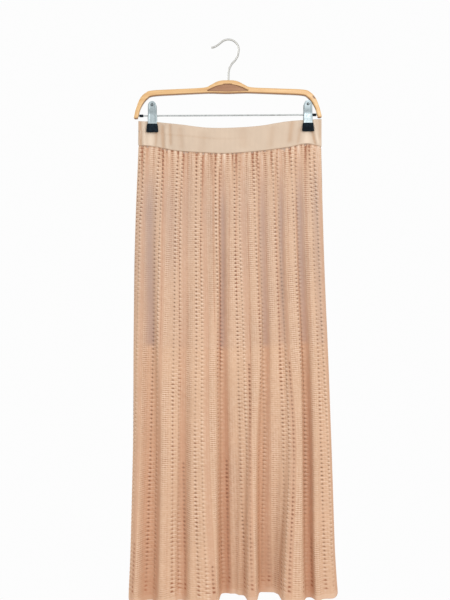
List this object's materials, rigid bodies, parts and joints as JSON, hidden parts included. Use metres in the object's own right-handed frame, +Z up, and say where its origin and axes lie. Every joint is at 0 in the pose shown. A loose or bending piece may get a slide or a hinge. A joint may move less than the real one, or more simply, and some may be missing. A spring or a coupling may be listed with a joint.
{
  "type": "maxi skirt on a clip hanger",
  "caption": "Long openwork knit skirt with a wide elastic waistband and a short lining, hung by clips from a wooden hanger with a round wire hook.",
  "frame": {"origin": "inside top of the hook, where the hanger rests on a rod or peg", "axes": "+Z up, the front of the skirt faces -Y, +X to the right as one looks at the front"},
  "size_m": [0.4115, 0.1276, 1.108],
  "materials": {
    "openwork_knit": "pale peach openwork knit, soft and matt",
    "rib_knit": "fine one-by-one rib knit over elastic, matt",
    "lining_cloth": "plain thin lining, matt",
    "bent_wood": "steam-bent pale hardwood, satin lacquer",
    "zinc_plated_steel": "pressed and drawn steel, zinc plated",
    "nickel_plated_wire": "bent wire, satin nickel plated",
    "black_rubber": "moulded black rubber, matt"
  },
  "bodies": {
    "root": {"clip_left_back_foot": "black_rubber", "clip_left_back_jaw": "zinc_plated_steel", "clip_left_front_foot": "black_rubber", "clip_left_front_jaw": "zinc_plated_steel", "clip_left_spring": "zinc_plated_steel", "clip_right_back_foot": "black_rubber", "clip_right_back_jaw": "zinc_plated_steel", "clip_right_front_foot": "black_rubber", "clip_right_front_jaw": "zinc_plated_steel", "clip_right_spring": "zinc_plated_steel", "hanger_bar": "bent_wood", "hanger_hook": "nickel_plated_wire", "hanger_rod": "zinc_plated_steel", "lining_back": "lining_cloth", "lining_front": "lining_cloth", "rod_cap_left": "black_rubber", "rod_cap_right": "black_rubber", "skirt_back": "openwork_knit", "skirt_front": "openwork_knit", "waistband_back": "rib_knit", "waistband_front": "rib_knit"}
  },
  "joints": []
}
